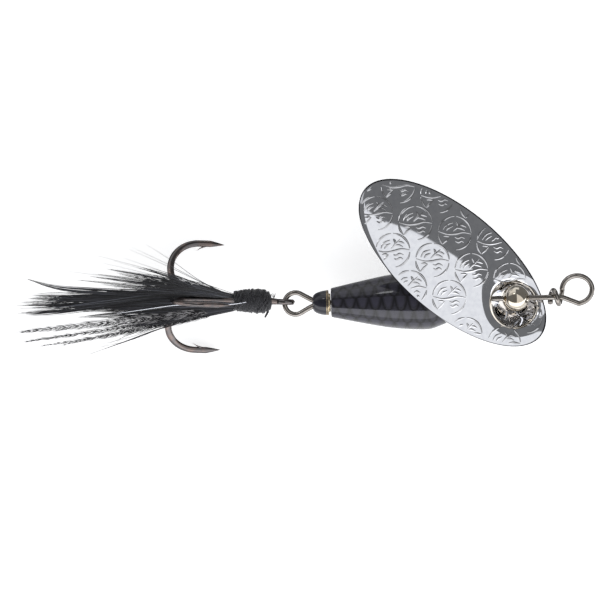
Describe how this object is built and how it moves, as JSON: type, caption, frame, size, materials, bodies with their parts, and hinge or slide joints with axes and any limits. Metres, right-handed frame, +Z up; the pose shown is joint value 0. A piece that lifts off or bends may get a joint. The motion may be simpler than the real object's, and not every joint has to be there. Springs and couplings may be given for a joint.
{
  "type": "inline spinner",
  "caption": "Inline spinning lure: wire shaft with a line eye, pierced metal blade turning on a bead, weighted body, and a dressed treble hook that swings in the rear loop.",
  "frame": {"origin": "middle of the footprint on the surface that the lure lies on, its lowest point at z = 0", "axes": "+X along the shaft towards the line-tie eye, +Y across the shaft, +Z up out of the blade's show face"},
  "size_m": [0.0694, 0.0204, 0.0125],
  "materials": {
    "stainless_wire": "bright drawn wire, warm grey",
    "plated_bead": "polished, pale nickel over brass",
    "polished_blade": "mirror polished silver plate with shallow stamped rings",
    "brass": "turned, satin",
    "black_lacquer": "gloss clear coat over blue-black scale pattern",
    "black_cap": "gloss black",
    "black_nickel": "dark bronze-black plating",
    "tying_thread": "coarse waxed black thread",
    "black_hair": "glossy black hair with a blue-grey sheen",
    "barred_feather": "grey feather barred with black",
    "tinsel": "thin silvery tinsel"
  },
  "bodies": {
    "shaft": {"shaft_wire": "stainless_wire", "tail_cap": "black_cap"},
    "weight": {"body": "black_lacquer"},
    "washer": {"bearing_washer": "brass"},
    "ring": {"spacer_ring": "brass"},
    "bead": {"front_bead": "plated_bead"},
    "blade": {"blade": "polished_blade"},
    "treble": {"double_hook": "black_nickel", "single_hook": "black_nickel", "thread_head": "tying_thread", "tail_hair_core": "black_hair", "tail_hair_left": "black_hair", "tail_hair_right": "black_hair", "barred_hackle": "barred_feather", "flash_strand": "tinsel"}
  },
  "joints": [
    {"name": "bead_spin", "type": "hinge", "parent": "shaft", "child": "bead", "pos_m": [0.02526, -0.00439, 0.0035], "axis": [1, 0, 0], "continuous": true},
    {"name": "blade_tilt", "type": "hinge", "parent": "bead", "child": "blade", "pos_m": [0.02276, -0.00439, 0.0035], "axis": [0, 1, 0], "range_deg": [0, 20]},
    {"name": "washer_spin", "type": "hinge", "parent": "shaft", "child": "washer", "pos_m": [0.02186, -0.00439, 0.0035], "axis": [1, 0, 0], "continuous": true},
    {"name": "body_spin", "type": "hinge", "parent": "shaft", "child": "weight", "pos_m": [0.01238, -0.00439, 0.0035], "axis": [1, 0, 0], "continuous": true},
    {"name": "ring_spin", "type": "hinge", "parent": "shaft", "child": "ring", "pos_m": [0.00275, -0.00439, 0.0035], "axis": [1, 0, 0], "continuous": true},
    {"name": "treble_swing", "type": "hinge", "parent": "shaft", "child": "treble", "pos_m": [-0.00249, -0.00417, 0.0035], "axis": [0.0558, 0.9984, 0], "range_deg": [-85, 85]}
  ]
}
